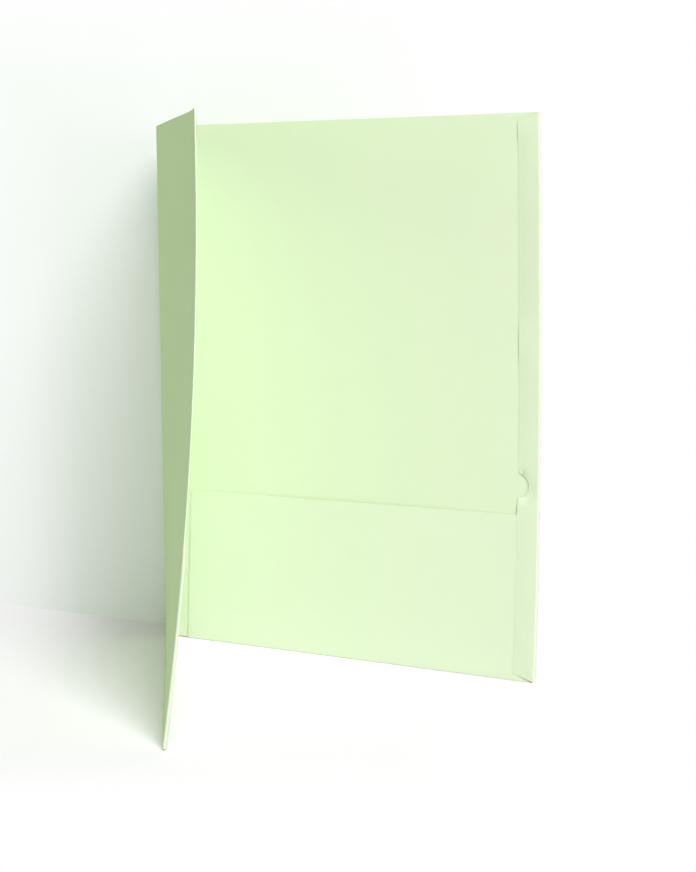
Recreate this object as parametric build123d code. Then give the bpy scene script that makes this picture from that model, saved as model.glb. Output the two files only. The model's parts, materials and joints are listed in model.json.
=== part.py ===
from build123d import *
import math
import os

# Two-pocket folder of coloured card, standing open on its bottom folds.
# One die-cut sheet makes it: two covers that share a spine, a pocket folded up
# from the bottom of each cover, and a strip folded in from each outer edge that
# is glued over the pocket's end. Each panel, each fold and each glue line is a
# solid of its own, and panels and folds meet face to face. The front cover is
# twisted, with everything on it, because its foot stands further open than its top.

# Driving dimensions, in millimetres and degrees
FOLDER_WIDTH = 238.125       # one cover, from the spine to the outer edge, folder shut
FOLDER_HEIGHT = 298.45       # from the bottom folds to the top edge
CARD = 0.35                  # thickness of the card
OPEN_ANGLE = 50.4            # between the two covers' top edges as the folder stands
FOOT_TWIST = 4.9             # how much further the front cover's foot stands open
TWIST_POWER = 2              # the twist dies away towards the top with this power of the height left
TWIST_STEP = 31.0            # tallest stretch over which it is steady
SHUT_CLEARANCE = 0.3         # left between the two edge flaps when the folder is shut

POCKET_HEIGHT = 88.9         # from the bottom folds to the pocket's mouth
POCKET_ROOM = 0.6            # between a cover and its pocket, for papers
POCKET_INSET_FOOT = 12.7     # from the spine fold to the pocket's open side, at its foot
POCKET_INSET_MOUTH = 16.5    # the same at its mouth
POCKET_END_GAP = 0.5         # between the pocket's glued end and the outer edge fold
FOLD_PRESS = 0.06            # how far the bottom folds are pressed flat

FLAP_WIDTH = 12.7            # strip along each outer edge
FLAP_MITRE_TOP = 4.7         # how far the strip's top end slopes down
FLAP_MITRE_FOOT = 3.4        # how far its foot slopes up
FLAP_STEP_START = 2.0        # above the pocket's mouth, where the strip bends to the cover
FLAP_STEP_RUN = 24.0         # height over which it comes down to the cover
NOTCH_RADIUS = 6.35          # half-moon notch in the strip's inner edge
NOTCH_ABOVE_POCKET = 15.3    # from the pocket's mouth to the notch's centre

GLUE = 0.16                  # between sheets that are glued
GLUE_BEAD = 4.0              # width of a glue line
GLUE_CLEARANCE = 0.05        # left on each face of a glue line, so that it doesn't cross twisted sheets
GLUE_MARGIN = 2.0            # a glue line stops this far from the ends of what it holds

# Distances in front of a cover's inside face, from the pocket outwards
POCKET_FRONT = POCKET_ROOM + CARD
FLAP_LOW = POCKET_FRONT + GLUE
FLAP_HIGH = GLUE
STACK = FLAP_LOW + CARD

# The spine fold is rolled round the hinge line, wide enough for both pockets
SPINE_INSIDE = STACK + SHUT_CLEARANCE / 2
SPINE_OUTSIDE = SPINE_INSIDE + CARD

# The rolled folds at the outer edge and at the bottom
EDGE_FOLD_LOW = FLAP_LOW / 2
EDGE_FOLD_HIGH = FLAP_HIGH / 2
POCKET_FOLD = POCKET_ROOM / 2
FOLD_LEVEL = POCKET_FOLD + CARD - FOLD_PRESS

# Places along a cover, measured from the hinge line. A cover starts clear of it, so that
# the twisted cover's foot can swing past flat.
COVER_START = SPINE_OUTSIDE * math.tan(math.radians(FOOT_TWIST))
OUTER_EDGE = FOLDER_WIDTH - SPINE_OUTSIDE
COVER_END = OUTER_EDGE - EDGE_FOLD_LOW - CARD
FLAP_START = OUTER_EDGE - FLAP_WIDTH
POCKET_END = COVER_END - POCKET_END_GAP

# Heights of the flap's bend and its notch
STEP_FOOT = POCKET_HEIGHT + FLAP_STEP_START
STEP_TOP = STEP_FOOT + FLAP_STEP_RUN
NOTCH_LEVEL = POCKET_HEIGHT + NOTCH_ABOVE_POCKET


def stretches(low, high):
    """Heights that divide a length evenly, without its upper end."""
    count = math.ceil((high - low) / TWIST_STEP)
    return [low + (high - low) * i / count for i in range(count)]


# Heights between which a twisted cover turns at a steady rate
TWIST_LEVELS = stretches(FOLD_LEVEL, STEP_FOOT) + [STEP_FOOT]
TWIST_LEVELS += stretches(STEP_TOP, FOLDER_HEIGHT) + [FOLDER_HEIGHT]


def twist_at(level, foot_twist):
    """Turn of a twisted cover at one height, in degrees. It is most at the foot and none at the top."""
    above = next(i for i in range(1, len(TWIST_LEVELS)) if level <= TWIST_LEVELS[i])
    low, high = TWIST_LEVELS[above - 1], TWIST_LEVELS[above]
    low_turn, high_turn = [foot_twist * (1 - z / FOLDER_HEIGHT) ** TWIST_POWER for z in (low, high)]
    return low_turn + (high_turn - low_turn) * (level - low) / (high - low)


def section_heights(low, high, foot_twist, bends=()):
    """Heights at which an upright piece has a cross-section."""
    levels = set(bends) | set(TWIST_LEVELS if foot_twist else [])
    return [low] + sorted(z for z in levels if low < z < high) + [high]


def turned(z, foot_twist):
    """Place of a cross-section on the cover at one height."""
    return Pos(0, 0, z) * Rot(0, 0, twist_at(z, foot_twist))


def facet(*points):
    return Face(Wire.make_polygon(points, close=True))


def faceted(rings):
    """Solid with flat faces through rings of four corners, with both broad sides split the same way."""
    faces = [facet(*rings[0]), facet(*rings[-1])]
    for low, high in zip(rings, rings[1:]):
        for i, j in ((0, 1), (3, 2), (1, 2), (3, 0)):
            faces += [facet(low[i], low[j], high[i]), facet(low[j], high[j], high[i])]
    return Solid(Shell(faces)).clean()


def sheet(section, low, high, foot_twist, bends=()):
    """Upright sheet through a cross-section's corners, which turn with the cover at each height."""
    heights = section_heights(low, high, foot_twist, bends)
    return faceted([[(turned(z, foot_twist) * Pos(*c)).position for c in section(z)] for z in heights])


def strip(x_span, depth_span):
    """Corners of a flat cross-section, with depth measured from the cover's inside face into the folder."""
    (start, end), (outer, inner) = x_span, [SPINE_INSIDE - depth for depth in depth_span]
    return [(start, inner), (end, inner), (end, outer), (start, outer)]


def ring_sector(centre, inside, start_angle, sweep_angle):
    """Cross-section of card rolled round a centre, with the given inside radius."""
    outer = CenterArc(centre, inside + CARD, start_angle, sweep_angle)
    inner = CenterArc(centre, inside, start_angle, sweep_angle)
    first_end = Line(outer @ 0, inner @ 0)
    last_end = Line(outer @ 1, inner @ 1)
    return make_face([outer, inner, first_end, last_end])


def cover(foot_twist):
    panel = strip((COVER_START, COVER_END), (-CARD, 0))
    return sheet(lambda z: panel, FOLD_LEVEL, FOLDER_HEIGHT, foot_twist)


def pocket(foot_twist):
    """Panel whose open side leans away from the spine."""
    lean = (POCKET_INSET_MOUTH - POCKET_INSET_FOOT) / (POCKET_HEIGHT - FOLD_LEVEL)

    def section(z):
        open_side = POCKET_INSET_FOOT + lean * (z - FOLD_LEVEL)
        return strip((open_side, POCKET_END), (POCKET_ROOM, POCKET_FRONT))

    return sheet(section, FOLD_LEVEL, POCKET_HEIGHT, foot_twist)


def pocket_fold(foot_twist):
    """Half-round roll under the pocket, pressed flat where the folder stands."""
    roll = ring_sector((0, 0), POCKET_FOLD, 180, 180)
    width = 2 * (POCKET_FOLD + CARD)
    pressed = roll & Pos(0, -FOLD_LEVEL / 2) * Rectangle(width, FOLD_LEVEL)
    length = POCKET_END - POCKET_INSET_FOOT
    foot = Pos(POCKET_INSET_FOOT, SPINE_INSIDE - POCKET_FOLD, FOLD_LEVEL)
    return Rot(0, 0, twist_at(FOLD_LEVEL, foot_twist)) * foot * extrude(Plane.YZ * pressed, length)


def stepped(z, beside_pocket, above):
    """Value that goes from one to the other where the flap comes down to the cover."""
    share = min(max((z - STEP_FOOT) / FLAP_STEP_RUN, 0), 1)
    return beside_pocket + (above - beside_pocket) * share


def edge_fold(foot_twist):
    """Roll along the outer edge: fuller beside the pocket, tight above it."""

    def section(z):
        inside = stepped(z, EDGE_FOLD_LOW, EDGE_FOLD_HIGH)
        return ring_sector((COVER_END, SPINE_INSIDE - inside), inside, -90, 180)

    heights = section_heights(FOLD_LEVEL, FOLDER_HEIGHT, foot_twist, (STEP_FOOT, STEP_TOP))
    return loft([turned(z, foot_twist) * section(z) for z in heights], ruled=True)


def flap_cutter(outline, level, foot_twist):
    """Prism through the flap, square to it at the given height."""
    prism = extrude(Plane.XZ * outline, FLAP_WIDTH, both=True)
    return Rot(0, 0, twist_at(level, foot_twist)) * Pos(0, SPINE_INSIDE, 0) * prism


def mitre(level, rise, end):
    """Triangle off the flap's foot or top, longer than the flap is wide."""
    run = 2 * (COVER_END - FLAP_START)
    return make_face(
        Polyline(
            (COVER_END, level),
            (COVER_END - run, level + 2 * rise),
            (COVER_END - run, end),
            (COVER_END, end),
            close=True,
        )
    )


def edge_flap(foot_twist):
    """Strip that steps from the pocket's end down to the cover at its notch, with mitred ends."""

    def section(z):
        depth = stepped(z, FLAP_LOW, FLAP_HIGH)
        return strip((FLAP_START, COVER_END), (depth, depth + CARD))

    band = sheet(section, FOLD_LEVEL, FOLDER_HEIGHT, foot_twist, (STEP_FOOT, STEP_TOP))
    foot = mitre(FOLD_LEVEL, FLAP_MITRE_FOOT, 0)
    top = mitre(FOLDER_HEIGHT, -FLAP_MITRE_TOP, FOLDER_HEIGHT + FLAP_MITRE_TOP)
    notch = Pos(FLAP_START, NOTCH_LEVEL) * Circle(NOTCH_RADIUS)
    for outline, level in ((foot, FOLD_LEVEL), (top, FOLDER_HEIGHT), (notch, NOTCH_LEVEL)):
        band = band - flap_cutter(outline, level, foot_twist)
    return band


def glue_bead(end, near, far):
    """Cross-section of a glue line in the middle of the flap, between two depths."""
    start = (FLAP_START + end - GLUE_BEAD) / 2
    return strip((start, start + GLUE_BEAD), (near + GLUE_CLEARANCE, far - GLUE_CLEARANCE))


def pocket_glue(foot_twist):
    """Glue between the flap and the pocket's end."""
    bead = glue_bead(POCKET_END, POCKET_FRONT, FLAP_LOW)
    low = FOLD_LEVEL + FLAP_MITRE_FOOT + GLUE_MARGIN
    return sheet(lambda z: bead, low, POCKET_HEIGHT - GLUE_MARGIN, foot_twist)


def flap_glue(foot_twist):
    """Glue between the flap and the cover, above the step."""
    bead = glue_bead(COVER_END, 0, FLAP_HIGH)
    high = FOLDER_HEIGHT - FLAP_MITRE_TOP - GLUE_MARGIN
    return sheet(lambda z: bead, STEP_TOP + GLUE_MARGIN, high, foot_twist)


def spine_fold():
    """Roll that joins the covers, bent as far as they are shut at each height, with a short tail on each."""
    tail = Pos(0, SPINE_INSIDE) * Rectangle(COVER_START, CARD, align=Align.MIN)

    def section(z):
        turn = OPEN_ANGLE + twist_at(z, FOOT_TWIST)
        roll = ring_sector((0, 0), SPINE_INSIDE, 90, 180 - turn)
        return roll + tail + Rot(0, 0, -turn) * mirror(tail, about=Plane.XZ)

    return loft([Pos(0, 0, z) * section(z) for z in TWIST_LEVELS], ruled=True)


def base_centre():
    """Middle of the folder's footprint, seen from the hinge line."""
    turn = math.radians(OPEN_ANGLE + twist_at(FOLD_LEVEL, FOOT_TWIST))
    right = OUTER_EDGE
    left = -SPINE_OUTSIDE
    rear = SPINE_OUTSIDE
    roll_centre = COVER_END * math.sin(turn) + (SPINE_INSIDE - EDGE_FOLD_LOW) * math.cos(turn)
    front = -(roll_centre + EDGE_FOLD_LOW + CARD)
    return Vector((left + right) / 2, (front + rear) / 2, 0)


def folder_pieces():
    """All pieces by name, with the origin under the middle of the footprint."""
    on_each_cover = [cover, pocket, pocket_fold, edge_flap, edge_fold, pocket_glue, flap_glue]
    to_origin = Location(-base_centre())
    pieces = {"spine_fold": to_origin * spine_fold()}
    for make in on_each_cover:
        opened = Rot(0, 0, -OPEN_ANGLE) * mirror(make(FOOT_TWIST), about=Plane.XZ)
        pieces["back_" + make.__name__] = to_origin * make(0)
        pieces["front_" + make.__name__] = to_origin * opened
    return pieces


os.makedirs("parts", exist_ok=True)
for node, shape in folder_pieces().items():
    export_step(shape, f"parts/{node}.step")
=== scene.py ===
import json
import math

import bmesh
import bpy
import numpy as np
from mathutils import Matrix, Vector


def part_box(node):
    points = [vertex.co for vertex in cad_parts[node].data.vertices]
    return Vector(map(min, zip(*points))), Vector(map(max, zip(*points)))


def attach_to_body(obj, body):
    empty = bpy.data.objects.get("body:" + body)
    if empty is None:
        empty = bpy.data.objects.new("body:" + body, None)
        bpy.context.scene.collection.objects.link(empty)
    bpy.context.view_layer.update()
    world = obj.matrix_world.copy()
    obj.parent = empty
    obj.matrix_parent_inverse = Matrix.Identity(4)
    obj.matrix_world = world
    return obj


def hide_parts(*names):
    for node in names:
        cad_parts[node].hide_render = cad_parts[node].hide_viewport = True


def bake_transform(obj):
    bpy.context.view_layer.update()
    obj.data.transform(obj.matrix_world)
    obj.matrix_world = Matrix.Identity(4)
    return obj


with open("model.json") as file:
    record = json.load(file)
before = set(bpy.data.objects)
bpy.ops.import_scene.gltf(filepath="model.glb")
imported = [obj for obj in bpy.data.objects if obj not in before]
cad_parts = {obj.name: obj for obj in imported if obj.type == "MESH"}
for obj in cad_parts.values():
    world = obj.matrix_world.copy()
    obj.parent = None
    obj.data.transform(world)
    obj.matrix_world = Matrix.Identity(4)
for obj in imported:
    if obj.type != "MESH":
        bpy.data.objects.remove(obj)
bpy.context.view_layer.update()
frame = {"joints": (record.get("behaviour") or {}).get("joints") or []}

# A pale green two-pocket folder of card, standing open. Each panel is a thin sheet
# that bows as card does, and each fold is a roll.
MM = 0.001

# Places taken from the frame, in metres, measured from the hinge line
hinge_joint = frame["joints"][0]
HINGE = Vector(hinge_joint["pos_m"])
OPEN_ANGLE = math.radians(-hinge_joint["range_deg"][0])
cover_low, cover_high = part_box("back_cover")
pocket_low, pocket_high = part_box("back_pocket")
flap_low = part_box("back_edge_flap")[0]
CARD = cover_high.y - cover_low.y
INSIDE = cover_low.y - HINGE.y
COVER_START = cover_low.x - HINGE.x
COVER_END = cover_high.x - HINGE.x
FOLD_LEVEL = cover_low.z
TOP = cover_high.z
POCKET_ROOM = cover_low.y - pocket_high.y
POCKET_FOOT = pocket_low.x - HINGE.x
POCKET_END = pocket_high.x - HINGE.x
POCKET_TOP = pocket_high.z
FLAP_START = flap_low.x - HINGE.x
FLAP_OVER_POCKET = cover_low.y - flap_low.y - CARD

# Details of the outline that the boxes don't give
FOOT_TWIST = math.radians(4.9)      # how much further the front cover's foot stands open
TWIST_POWER = 2
POCKET_LEAN = 3.8 * MM              # the pocket's open side leans away from the spine
FLAP_MITRE_TOP = 4.7 * MM
FLAP_MITRE_FOOT = 3.4 * MM
MITRE_FADE = 20 * MM
NOTCH_RADIUS = 6.35 * MM
NOTCH_LEVEL = POCKET_TOP + 15.3 * MM
STEP_FOOT = POCKET_TOP + 0.5 * MM   # the flap steps down from the pocket to the cover
STEP_TOP = STEP_FOOT + 11 * MM

# How the flap lies: its fold is a soft roll on the back, a tight one on the front
FLAP_ON_COVER = 0.03 * MM
EDGE_PRESSED = 0.4                  # share of the card's thickness that is left at the flap's cut edge
EDGE_REACH = 3 * MM
ROLL_BESIDE_POCKET = {"back": 1.45 * MM, "front": FLAP_OVER_POCKET}
ROLL_ABOVE_POCKET = {"back": 1.0 * MM, "front": 0.05 * MM}
LIFTS = ((179 * MM, 9 * MM, 0.5 * MM), (290 * MM, 7 * MM, 0.45 * MM))   # height, reach, rise

# How the card bows as the folder stands
FRONT_HOLLOW = 6.6 * MM             # the front cover's top edge hollows in towards the back cover
HOLLOW_START = 150 * MM
HOLLOW_POWER = 4
FRONT_DROOP = 2.8 * MM              # its top corner stands this much lower than the spine
DROOP_POWER = 2
FRONT_BELLY = 0.84 * MM             # its free edge bellies in, most at half height
BACK_BELLY = 3.8 * MM               # the back cover's outer edge bellies out at this height
BACK_BELLY_LEVEL = 165 * MM
BACK_TOP_FALL = 2.5 * MM
BACK_FOOT_FALL = 6.3 * MM
FALL_POWER = 2
BELLY_POWER = 1.5
MOUTH_PRESS = 0.5 * MM              # how far a pocket's mouth is pressed towards its cover
MOUTH_SWELL = {"back": 1.0 * MM, "front": 0.6 * MM}     # and how far it stands off at this place
SWELL_PLACE = 125 * MM
SWELL_REACH = 65 * MM
MOUTH_FADE = 25 * MM
MOUTH_POWER = 1.6

# Mesh density
COVER_COLUMNS = 48
COVER_ROWS = 60
ROLL_STEPS = 14
FLAP_COLUMNS = 12
FLAP_CROWDING = 1.8                 # the flap's columns are closer at its cut edge
END_CROWDING = 1.5                  # and its rows at its ends
FLAP_LEVELS_BELOW = 30              # counted from the notch
FLAP_LEVELS_ABOVE = 60
NOTCH_ROWS = 28
POCKET_ROWS = 22
POCKET_COLUMNS = 60
GLUE_COLUMNS = 4
GLUE_ROWS = 24
SHARP_ANGLE = math.radians(40)

# Look of the card and the glue. A noise has a scale, a detail and a roughness
CARD_COLOUR = (0.718, 0.848, 0.589, 1)
CARD_OUTER = (0.728, 0.85, 0.617, 1)        # the card's outer side is a little paler
CARD_DEEP = (0.693, 0.83, 0.559, 1)
CARD_PALE = (0.76, 0.87, 0.65, 1)
CARD_CUT_AND_SHADE = (0.5, 0.62, 0.2, 1)              # cut edges painted deeper: partly the cut fibres, partly painted shade for the dark line along a pocket's mouth
CLOUD = (140, 3, 0.5)
GRAIN = (2600, 2, 0.7)
BROAD = (14, 2, 0.5)
NOISE_SPAN = (0.3, 0.7)                     # where the values of a noise mostly lie
CLOUD_SHARE = (0.15, 0.0)
BROAD_SHARE = (0.0, 0.35)
GRAIN_SHARE = (0.0, 0.3)
WORN_SHARE = (0.0, 0.2)
CARD_ROUGHNESS = (0.78, 0.88)
CARD_SHINE = 0.3
GRAIN_BUMP = (0.25, 0.02 * MM)              # strength and depth
CLOUD_BUMP = (0.2, 0.05 * MM)
CREASE_REACH = 2.2 * MM                     # how far from a fold the card is worn
FLAT = (0, 1)                               # a cover's far face is the card's outer side
FOLDED_IN = (1, 0)                          # and on a panel that is folded in, the near face
GLUE_COLOUR = (0.86, 0.84, 0.76, 1)
GLUE_DEEP = (0.78, 0.77, 0.66, 1)
RIPPLE = (400, 3, 0.5)
RIPPLE_SHARE = (0, 1)
GLUE_ROUGHNESS = (0.35, 0.55)
GLUE_BUMP = (0.4, 0.1 * MM)

# Floor and wall. They fade to white by distances from the spine's middle: start, end, share
STAGE_REACH = 4.0
WALL_HEIGHT = 3.0
WALL_BEHIND = 25 * MM                       # from the hinge line to the wall, parallel to the back cover
FLOOR_SEEN = (0.93, 0.94, 0.945, 1)         # how pale the floor and the wall look
# the wall's green tint is painted light: green light bounced off the card into the shadow on the wall
WALL_SEEN = (0.925, 0.97, 0.955, 1)
STAGE_BOUNCE = (0.6, 0.6, 0.6, 1)           # how much of the light the floor passes on to the folder
FLOOR_BURNS = {
    "right": (60 * MM, 190 * MM, 1.0),
    "front": (225 * MM, 310 * MM, 1.0),
    "left": (25 * MM, 110 * MM, 0.55),
}
WALL_BURNS = {
    "right": (60 * MM, 190 * MM, 1.0),
    "above": (130 * MM, 260 * MM, 1.0),
    "left": (50 * MM, 115 * MM, 0.45),
}
FAR_BURN = (400 * MM, 900 * MM, 1.0)        # both are white by this distance in any direction

# Light
WHITE = (1, 1, 1, 1)
FILL_LEVEL = 0.149                          # even light from all round
FILL_COLOUR = (0.87, 1.0, 0.75)
KEY_COLOUR = (1.06, 1.0, 1.08)
LEFT_COLOUR = (0.78, 1.0, 0.55)
PLAIN = (1.0, 1.0, 1.0)
LAMPS = {   # turn and rise in degrees, distance, size, level on a surface that faces it, colour
    "key": (50, 37, 6.0, 3.0, 0.815, KEY_COLOUR),
    "high": (42, 62, 6.0, 3.0, 0.264, KEY_COLOUR),
    "low": (52, 15, 1.1, 0.48, 0.155, PLAIN),
    "left": (-75, 10, 3.0, 1.3, 0.304, LEFT_COLOUR),
    "behind": (195, 10, 3.0, 1.4, 0.55, PLAIN),
}
FLAGGED = "behind"                          # this lamp's light falls on the folder alone

# The photograph's camera, fitted to the folder's edges
CAMERA_FROM_SPINE = Vector((616.5 * MM, -869.2 * MM, 0))
CAMERA_HEIGHT = 245.7 * MM
CAMERA_TURN = math.radians(29.6)
CAMERA_TILT = math.radians(6.84)
CAMERA_ROLL = math.radians(-0.47)
CAMERA_LENS = 75.27
SENSOR_WIDTH = 36
CLIP_START = 10 * MM
TO_RIGHT = Vector((math.cos(CAMERA_TURN), math.sin(CAMERA_TURN), 0))
TO_FRONT = Vector((math.sin(CAMERA_TURN), -math.cos(CAMERA_TURN), 0))
UP = Vector((0, 0, 1))
DIRECTIONS = {"right": TO_RIGHT, "left": -TO_RIGHT, "front": TO_FRONT, "above": UP}


# Shape of the card: u is the distance from the hinge line along a cover, and z the height

def smoothstep(value, start, end):
    """Rises smoothly from 0 to 1 between two values."""
    share = np.clip((value - start) / (end - start), 0, 1)
    return share * share * (3 - 2 * share)


def near_line(distance, reach):
    """1 on a line, fading with the distance from it."""
    return np.exp(-(distance / reach) ** 2)


def twist(z):
    """Turn of the front cover beyond its angle at the top."""
    return FOOT_TWIST * np.clip(1 - z / TOP, 0, 1) ** TWIST_POWER


def front_hollow(u, z):
    """How far the front cover stands inside its twisted plane."""
    along = np.abs(u / COVER_END)
    hollow = FRONT_HOLLOW * along * (1 - along ** HOLLOW_POWER) * smoothstep(z, HOLLOW_START, TOP)
    return hollow + FRONT_BELLY * along ** BELLY_POWER * np.sin(math.pi * z / TOP)


def back_bow(u, z):
    """How far the back cover stands outside its flat plane."""
    above = np.clip((z - BACK_BELLY_LEVEL) / (TOP - BACK_BELLY_LEVEL), 0, 1)
    below = np.clip(1 - z / BACK_BELLY_LEVEL, 0, 1)
    edge = BACK_BELLY - BACK_TOP_FALL * above ** FALL_POWER - BACK_FOOT_FALL * below ** FALL_POWER
    return edge * np.abs(u / COVER_END) ** BELLY_POWER


def place(side, u, depth, z):
    """Points in the frame, from the distance along a cover, the depth inside it and the height."""
    u, depth, z = np.broadcast_arrays(u, depth, z)
    if side == "back":
        x = u
        y = INSIDE - depth + back_bow(u, z)
    else:
        turn = OPEN_ANGLE + twist(z)
        across = depth - INSIDE + front_hollow(u, z)
        x = u * np.cos(turn) + across * np.sin(turn)
        y = -u * np.sin(turn) + across * np.cos(turn)
        z = z - FRONT_DROOP * (np.abs(u / COVER_END) * z / TOP) ** DROOP_POWER
    return np.stack([HINGE.x + x, HINGE.y + y, z], axis=-1)


def flap_step(z):
    """1 beside the pocket, 0 above it."""
    return 1 - smoothstep(z, STEP_FOOT, STEP_TOP)


def roll_width(side, z):
    """Room inside the roll of the outer edge."""
    low, high = ROLL_BESIDE_POCKET[side], ROLL_ABOVE_POCKET[side]
    return high + (low - high) * flap_step(z)


def flap_under(side, u, z):
    """Depth of the flap's underside."""
    inner = FLAP_ON_COVER + (POCKET_ROOM + CARD) * flap_step(z)
    for level, reach, rise in LIFTS:
        inner = inner + rise * near_line(z - level, reach)
    across = np.clip((u - FLAP_START) / (COVER_END - FLAP_START), 0, 1)
    return inner + (roll_width(side, z) - inner) * across


def mouth_rise(side, u, z):
    """How far the pocket's mouth leaves its plane, none under the flap."""
    rise = MOUTH_SWELL[side] * near_line(u - SWELL_PLACE, SWELL_REACH) - MOUTH_PRESS
    return rise * smoothstep(FLAP_START - u, 0, MOUTH_FADE) * (z / POCKET_TOP) ** MOUTH_POWER


# Meshes

def add_values(mesh, name, domain, values):
    layer = mesh.attributes.new(name, "FLOAT", domain)
    layer.data.foreach_set("value", np.asarray(values, np.float32))


def closed_sheet(name, near, far, crease, outer=FLAT):
    """Thin closed solid between two grids of points, with a crease value at each column and row.

    Outer says which of its two faces, near and far, is the outer side of the card.
    """
    rows, columns = near.shape[:2]
    points = np.concatenate([near.reshape(-1, 3), far.reshape(-1, 3)])
    to_far = rows * columns
    front = np.arange(to_far).reshape(rows, columns)
    back = front + to_far
    faces = []
    for row in range(rows - 1):
        for column in range(columns - 1):
            here, beside = (row, column), (row, column + 1)
            above, across = (row + 1, column), (row + 1, column + 1)
            faces.append((front[here], front[beside], front[across], front[above]))
            faces.append((back[here], back[above], back[across], back[beside]))
    foot, end = list(front[0, :]), list(front[1:, -1])
    head, start = list(front[-1, -2::-1]), list(front[-2:0:-1, 0])
    rim = foot + end + head + start
    for first, second in zip(rim, rim[1:] + rim[:1]):
        faces.append((second, first, first + to_far, second + to_far))
    mesh = bpy.data.meshes.new(name)
    mesh.from_pydata([tuple(p) for p in points], [], [tuple(int(i) for i in face) for face in faces])
    work = bmesh.new()
    work.from_mesh(mesh)
    bmesh.ops.recalc_face_normals(work, faces=work.faces)
    work.to_mesh(mesh)
    work.free()
    mesh.shade_smooth()
    mesh.set_sharp_from_angle(angle=SHARP_ANGLE)
    values = np.broadcast_to(crease, (rows, columns)).ravel()
    add_values(mesh, "crease", "POINT", np.concatenate([values, values]))
    pairs = (rows - 1) * (columns - 1)
    add_values(mesh, "outer", "FACE", list(outer) * pairs + [0] * len(rim))
    # the rim faces, which take the cut edges' deeper colour and painted shade
    add_values(mesh, "cut", "FACE", [0, 0] * pairs + [1] * len(rim))
    piece = bpy.data.objects.new(name, mesh)
    bpy.context.scene.collection.objects.link(piece)
    return piece


def cover(side):
    u = np.linspace(COVER_START, COVER_END, COVER_COLUMNS + 1)[None, :]
    z = np.linspace(FOLD_LEVEL, TOP, COVER_ROWS + 1)[:, None]
    crease = near_line(u, CREASE_REACH) + near_line(COVER_END - u, CREASE_REACH) + 0 * z
    return closed_sheet(f"{side}_cover_sheet", place(side, u, 0, z), place(side, u, -CARD, z), crease)


def flap_levels():
    """Heights of the flap's rows, crowded round the notch and at the ends."""
    turn = np.linspace(-math.pi / 2, math.pi / 2, NOTCH_ROWS + 1)
    notch = NOTCH_LEVEL + NOTCH_RADIUS * np.sin(turn)
    rising = np.linspace(0, 1, FLAP_LEVELS_BELOW) ** END_CROWDING
    falling = np.linspace(1, 0, FLAP_LEVELS_ABOVE) ** END_CROWDING
    below = FOLD_LEVEL + (notch[0] - FOLD_LEVEL) * rising
    above = TOP - (TOP - notch[-1]) * falling
    return np.concatenate([below[:-1], notch, above[1:]])


def edge_flap(side):
    """Roll along the outer edge and the strip that it carries, with mitred ends and the notch."""
    level = flap_levels()[:, None]
    turn = np.linspace(0, math.pi, ROLL_STEPS + 1)[None, :]
    inner_radius = roll_width(side, level) / 2
    radii = (inner_radius + CARD, inner_radius)
    roll_u = [COVER_END + radius * np.sin(turn) for radius in radii]
    roll_depth = [inner_radius - radius * np.cos(turn) for radius in radii]
    share = 1 - (1 - np.linspace(0, 1, FLAP_COLUMNS + 1)[None, 1:]) ** FLAP_CROWDING
    bite = np.sqrt(np.clip(NOTCH_RADIUS ** 2 - (level - NOTCH_LEVEL) ** 2, 0, None))
    strip_u = COVER_END + (FLAP_START + bite - COVER_END) * share
    foot = FLAP_MITRE_FOOT * np.clip(1 - (level - FOLD_LEVEL) / MITRE_FADE, 0, 1)
    head = FLAP_MITRE_TOP * np.clip(1 - (TOP - level) / MITRE_FADE, 0, 1)
    strip_z = level + (foot - head) * share
    under = flap_under(side, strip_u, strip_z)
    from_end = np.minimum(strip_z - strip_z[:1], strip_z[-1:] - strip_z)
    from_edge = np.minimum(strip_u - strip_u[:, -1:], from_end)
    pressed = (1 - EDGE_PRESSED) * near_line(from_edge, EDGE_REACH)
    z = np.concatenate([np.broadcast_to(level, roll_u[0].shape), strip_z], axis=1)
    near_u = np.concatenate([roll_u[0], strip_u], axis=1)
    far_u = np.concatenate([roll_u[1], strip_u], axis=1)
    near_depth = np.concatenate([roll_depth[0], under + CARD * (1 - pressed)], axis=1)
    far_depth = np.concatenate([roll_depth[1], under], axis=1)
    crease = near_line(np.clip(COVER_END - near_u, 0, None), CREASE_REACH)
    near = place(side, near_u, near_depth, z)
    far = place(side, far_u, far_depth, z)
    return closed_sheet(f"{side}_flap_strip", near, far, crease, FOLDED_IN)


def pocket(side):
    """Roll under the pocket and the pocket's panel."""
    turn = np.linspace(0, math.pi, ROLL_STEPS + 1)[:, None]
    share = np.linspace(0, 1, POCKET_COLUMNS + 1)[None, :]
    inner_radius = POCKET_ROOM / 2
    radii = (inner_radius + CARD, inner_radius)
    roll_u = POCKET_FOOT + (POCKET_END - POCKET_FOOT) * share + 0 * turn
    roll_depth = [inner_radius - radius * np.cos(turn) + 0 * share for radius in radii]
    roll_z = [np.maximum(FOLD_LEVEL - radius * np.sin(turn), 0) + 0 * share for radius in radii]
    z = np.linspace(FOLD_LEVEL, POCKET_TOP, POCKET_ROWS + 1)[1:, None]
    start = POCKET_FOOT + POCKET_LEAN * (z - FOLD_LEVEL) / (POCKET_TOP - FOLD_LEVEL)
    panel_u = start + (POCKET_END - start) * share
    panel_z = z + 0 * share
    under = POCKET_ROOM + mouth_rise(side, panel_u, z)
    u = np.concatenate([roll_u, panel_u])
    near_depth = np.concatenate([roll_depth[0], under + CARD])
    far_depth = np.concatenate([roll_depth[1], under])
    near = place(side, u, near_depth, np.concatenate([roll_z[0], panel_z]))
    far = place(side, u, far_depth, np.concatenate([roll_z[1], panel_z]))
    crease = near_line(np.concatenate([0 * turn, z - FOLD_LEVEL]), CREASE_REACH) + 0 * share
    return closed_sheet(f"{side}_pocket_panel", near, far, crease, FOLDED_IN)


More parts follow.
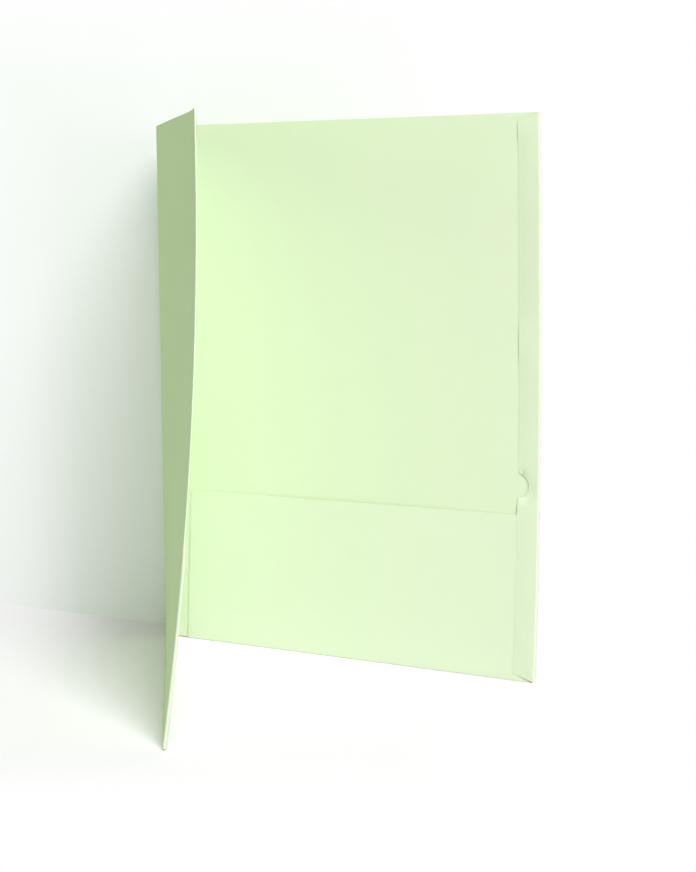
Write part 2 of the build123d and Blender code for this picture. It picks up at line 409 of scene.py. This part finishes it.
def spine_fold():
    """Roll between the covers, with a short tail on each."""
    z = np.linspace(FOLD_LEVEL, TOP, COVER_ROWS + 1)[:, None]
    share = np.linspace(0, 1, 2 * ROLL_STEPS + 1)[None, :]
    turn = math.pi / 2 + (math.pi - OPEN_ANGLE - twist(z)) * share
    faces = []
    for radius, depth in ((INSIDE, 0), (INSIDE + CARD, -CARD)):
        x, y, height = np.broadcast_arrays(radius * np.cos(turn), radius * np.sin(turn), z)
        arc = np.stack([HINGE.x + x, HINGE.y + y, height], axis=-1)
        tails = [place(side, COVER_START, depth, z) for side in ("back", "front")]
        faces.append(np.concatenate([tails[0], arc, tails[1]], axis=1))
    return closed_sheet("spine_roll", *faces, np.ones((1, 1)))


def glue_bead(side, node, depth):
    """Glue line from the given depth to the flap's underside."""
    low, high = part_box(f"back_{node}")
    u = np.linspace(low.x - HINGE.x, high.x - HINGE.x, GLUE_COLUMNS + 1)[None, :]
    z = np.linspace(low.z, high.z, GLUE_ROWS + 1)[:, None]
    near = place(side, u, flap_under(side, u, z), z)
    far = place(side, u, depth, z)
    return closed_sheet(f"{side}_{node}_bead", near, far, np.zeros((1, 1)))


# Parts of materials

def new_material(name):
    material = bpy.data.materials.new(name)
    material.use_nodes = True
    nodes = material.node_tree.nodes
    return material, nodes, material.node_tree.links, nodes["Principled BSDF"]


def attribute(nodes, name):
    node = nodes.new("ShaderNodeAttribute")
    node.attribute_name = name
    return node.outputs["Fac"]


def noise(nodes, links, coordinates, scale, detail, roughness):
    node = nodes.new("ShaderNodeTexNoise")
    node.inputs["Scale"].default_value = scale
    node.inputs["Detail"].default_value = detail
    node.inputs["Roughness"].default_value = roughness
    links.new(coordinates, node.inputs["Vector"])
    return node.outputs["Fac"]


def ranged(nodes, links, value, span):
    """A noise mapped to a span of values."""
    node = nodes.new("ShaderNodeMapRange")
    node.inputs["From Min"].default_value, node.inputs["From Max"].default_value = NOISE_SPAN
    node.inputs["To Min"].default_value, node.inputs["To Max"].default_value = span
    links.new(value, node.inputs["Value"])
    return node.outputs["Result"]


def mixed(nodes, links, factor, first, second):
    """Mix of two colours, each of them a colour or a socket."""
    node = nodes.new("ShaderNodeMix")
    node.data_type = "RGBA"
    links.new(factor, node.inputs["Factor"])
    ends = [socket for socket in node.inputs if socket.type == "RGBA"]
    for socket, value in zip(ends, (first, second)):
        if isinstance(value, bpy.types.NodeSocket):
            links.new(value, socket)
        else:
            socket.default_value = value
    return next(socket for socket in node.outputs if socket.type == "RGBA")


def math_node(nodes, links, operation, first, second):
    node = nodes.new("ShaderNodeMath")
    node.operation = operation
    links.new(first, node.inputs[0])
    links.new(second, node.inputs[1])
    return node.outputs[0]


def mix_shaders(nodes, links, factor, first, second):
    mix = nodes.new("ShaderNodeMixShader")
    for socket, value in zip(mix.inputs, (factor, first, second)):
        links.new(value, socket)
    return mix.outputs[0]


def bump(nodes, links, height, strength, depth):
    node = nodes.new("ShaderNodeBump")
    node.inputs["Strength"].default_value = strength
    node.inputs["Distance"].default_value = depth
    links.new(height, node.inputs["Height"])
    return node


# Materials of the folder

def card_material():
    """Uncoated card: cloudy pulp, short fibres, paler where it is creased, and deeper on its cut edges,
    partly from the cut fibres and partly painted shade for the dark line along a pocket's mouth.
    """
    material, nodes, links, shader = new_material("green_card")
    coordinates = nodes.new("ShaderNodeTexCoord").outputs["Object"]
    cloud = noise(nodes, links, coordinates, *CLOUD)
    grain = noise(nodes, links, coordinates, *GRAIN)
    broad = noise(nodes, links, coordinates, *BROAD)
    worn = math_node(
        nodes, links, "MULTIPLY", attribute(nodes, "crease"), ranged(nodes, links, grain, WORN_SHARE)
    )
    colour = mixed(nodes, links, attribute(nodes, "outer"), CARD_COLOUR, CARD_OUTER)
    colour = mixed(nodes, links, ranged(nodes, links, cloud, CLOUD_SHARE), colour, CARD_DEEP)
    colour = mixed(nodes, links, ranged(nodes, links, broad, BROAD_SHARE), colour, CARD_DEEP)
    colour = mixed(nodes, links, ranged(nodes, links, grain, GRAIN_SHARE), colour, CARD_PALE)
    colour = mixed(nodes, links, worn, colour, CARD_PALE)
    # cut edges get painted shade as well as the deeper colour of their fibres
    colour = mixed(nodes, links, attribute(nodes, "cut"), colour, CARD_CUT_AND_SHADE)
    links.new(colour, shader.inputs["Base Color"])
    links.new(ranged(nodes, links, cloud, CARD_ROUGHNESS), shader.inputs["Roughness"])
    shader.inputs["Specular IOR Level"].default_value = CARD_SHINE
    fibres = bump(nodes, links, grain, *GRAIN_BUMP)
    pulp = bump(nodes, links, cloud, *CLOUD_BUMP)
    links.new(fibres.outputs["Normal"], pulp.inputs["Normal"])
    links.new(pulp.outputs["Normal"], shader.inputs["Normal"])
    return material


def glue_material():
    """Dried paper glue: pale, slightly glossy, with a rippled skin."""
    material, nodes, links, shader = new_material("dried_glue")
    coordinates = nodes.new("ShaderNodeTexCoord").outputs["Object"]
    ripple = noise(nodes, links, coordinates, *RIPPLE)
    colour = mixed(nodes, links, ranged(nodes, links, ripple, RIPPLE_SHARE), GLUE_COLOUR, GLUE_DEEP)
    links.new(colour, shader.inputs["Base Color"])
    links.new(ranged(nodes, links, ripple, GLUE_ROUGHNESS), shader.inputs["Roughness"])
    skin = bump(nodes, links, ripple, *GLUE_BUMP)
    links.new(skin.outputs["Normal"], shader.inputs["Normal"])
    return material


# Put the pieces together

folder = bpy.data.collections.new("folder")
card = card_material()
dried = glue_material()


def attach(piece, side, material, nodes):
    piece.data.materials.append(material)
    folder.objects.link(piece)
    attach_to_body(piece, side)
    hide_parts(*nodes)


for side in ("back", "front"):
    attach(cover(side), side, card, [f"{side}_cover"])
    attach(edge_flap(side), side, card, [f"{side}_edge_flap", f"{side}_edge_fold"])
    attach(pocket(side), side, card, [f"{side}_pocket", f"{side}_pocket_fold"])
    on_pocket = glue_bead(side, "pocket_glue", POCKET_ROOM + CARD)
    on_cover = glue_bead(side, "flap_glue", 0)
    attach(on_pocket, side, dried, [f"{side}_pocket_glue"])
    attach(on_cover, side, dried, [f"{side}_flap_glue"])

roll = spine_fold()
roll.data.materials.append(card)
folder.objects.link(roll)
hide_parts("spine_fold")
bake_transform(roll)


# Floor and wall

def stage_material(name, seen):
    """Matt and pale to the camera, and plainer to the folder."""
    material, nodes, links, shader = new_material(name)
    path = nodes.new("ShaderNodeLightPath").outputs["Is Camera Ray"]
    shader.inputs["Roughness"].default_value = 1.0
    shader.inputs["Specular IOR Level"].default_value = 0.0
    links.new(mixed(nodes, links, path, STAGE_BOUNCE, seen), shader.inputs["Base Color"])
    return material, nodes, links, shader, path


def stage_fade(nodes, links, operation, direction, start, end, share):
    """Rises to a share between two distances from the spine's middle, in a direction or in any."""
    from_spine = nodes.new("ShaderNodeVectorMath")
    from_spine.operation = "SUBTRACT"
    from_spine.inputs[1].default_value = HINGE
    links.new(nodes.new("ShaderNodeNewGeometry").outputs["Position"], from_spine.inputs[0])
    distance = nodes.new("ShaderNodeVectorMath")
    distance.operation = operation
    distance.inputs[1].default_value = direction
    links.new(from_spine.outputs["Vector"], distance.inputs[0])
    fade = nodes.new("ShaderNodeMapRange")
    fade.interpolation_type = "SMOOTHSTEP"
    fade.inputs["From Min"].default_value = start
    fade.inputs["From Max"].default_value = end
    fade.inputs["To Max"].default_value = share
    links.new(distance.outputs["Value"], fade.inputs["Value"])
    return fade.outputs["Result"]


def burn_share(nodes, links, burns):
    """The largest of several fades."""
    share = stage_fade(nodes, links, "LENGTH", Vector(), *FAR_BURN)
    for name, burn in burns.items():
        fade = stage_fade(nodes, links, "DOT_PRODUCT", DIRECTIONS[name], *burn)
        share = math_node(nodes, links, "MAXIMUM", share, fade)
    return share


def floor_material():
    """Floor that burns out to white round the folder, to the camera."""
    material, nodes, links, shader, path = stage_material("studio_floor", FLOOR_SEEN)
    burn = math_node(nodes, links, "MULTIPLY", burn_share(nodes, links, FLOOR_BURNS), path)
    white = nodes.new("ShaderNodeEmission")
    seen = mix_shaders(nodes, links, burn, shader.outputs[0], white.outputs[0])
    links.new(seen, nodes["Material Output"].inputs["Surface"])
    return material


def wall_material():
    """Wall that is there for the camera alone, only from its front, and burns out round the folder."""
    material, nodes, links, shader, path = stage_material("studio_wall", WALL_SEEN)
    burn = burn_share(nodes, links, WALL_BURNS)
    white = nodes.new("ShaderNodeEmission")
    seen = mix_shaders(nodes, links, burn, shader.outputs[0], white.outputs[0])
    backfacing = nodes.new("ShaderNodeNewGeometry").outputs["Backfacing"]
    shown = math_node(nodes, links, "SUBTRACT", path, backfacing)
    clear = nodes.new("ShaderNodeBsdfTransparent")
    surface = mix_shaders(nodes, links, shown, clear.outputs[0], seen)
    links.new(surface, nodes["Material Output"].inputs["Surface"])
    return material


def stage_plane(name, corner, first_side, second_side, material):
    corners = [corner, corner + first_side, corner + first_side + second_side, corner + second_side]
    mesh = bpy.data.meshes.new(name)
    mesh.from_pydata(corners, [], [(0, 1, 2, 3)])
    mesh.materials.append(material)
    sheet = bpy.data.objects.new(name, mesh)
    bpy.context.scene.collection.objects.link(sheet)


width = Vector((2 * STAGE_REACH, 0, 0))
floor_depth = Vector((0, 2 * STAGE_REACH, 0))
floor_corner = Vector((-STAGE_REACH, -STAGE_REACH, 0))
wall_corner = Vector((-STAGE_REACH, HINGE.y + WALL_BEHIND, 0))
stage_plane("floor", floor_corner, width, floor_depth, floor_material())
stage_plane("wall", wall_corner, width, WALL_HEIGHT * UP, wall_material())


# Lamps, even light and camera

def add_lamp(name, turn, rise, distance, size, level, colour):
    """Disk lamp that looks at the folder's middle, with the power that gives its level there."""
    lamp = bpy.data.lights.new(name, "AREA")
    lamp.shape = "DISK"
    lamp.size = size
    lamp.energy = level * math.pi ** 2 * distance ** 2
    lamp.color = colour
    turn, rise = math.radians(turn), math.radians(rise)
    to_lamp = Vector((math.sin(turn) * math.cos(rise), -math.cos(turn) * math.cos(rise), math.sin(rise)))
    holder = bpy.data.objects.new(name, lamp)
    holder.location = TOP / 2 * UP + to_lamp * distance
    holder.rotation_euler = to_lamp.to_track_quat("Z", "Y").to_euler()
    if name == FLAGGED:
        holder.light_linking.receiver_collection = folder
    bpy.context.scene.collection.objects.link(holder)


def add_world():
    """Even light on the folder, and white to the camera."""
    world = bpy.data.worlds.new("studio")
    bpy.context.scene.world = world
    world.use_nodes = True
    nodes, links = world.node_tree.nodes, world.node_tree.links
    path = nodes.new("ShaderNodeLightPath").outputs["Is Camera Ray"]
    fill = tuple(FILL_LEVEL * channel for channel in FILL_COLOUR) + (1,)
    links.new(mixed(nodes, links, path, fill, WHITE), nodes["Background"].inputs["Color"])


def add_camera():
    camera = bpy.data.objects.new("camera", bpy.data.cameras.new("camera"))
    bpy.context.scene.collection.objects.link(camera)
    camera.data.sensor_width = SENSOR_WIDTH
    camera.data.lens = CAMERA_LENS
    camera.data.clip_start = CLIP_START
    stand = HINGE + CAMERA_FROM_SPINE
    stand.z = CAMERA_HEIGHT
    camera.matrix_world = (
        Matrix.Translation(stand)
        @ Matrix.Rotation(CAMERA_TURN, 4, "Z")
        @ Matrix.Rotation(math.pi / 2 - CAMERA_TILT, 4, "X")
        @ Matrix.Rotation(CAMERA_ROLL, 4, "Z")
    )
    bpy.context.scene.camera = camera


for name, settings in LAMPS.items():
    add_lamp(name, *settings)
add_world()
add_camera()
bpy.context.scene.view_settings.view_transform = "Standard"
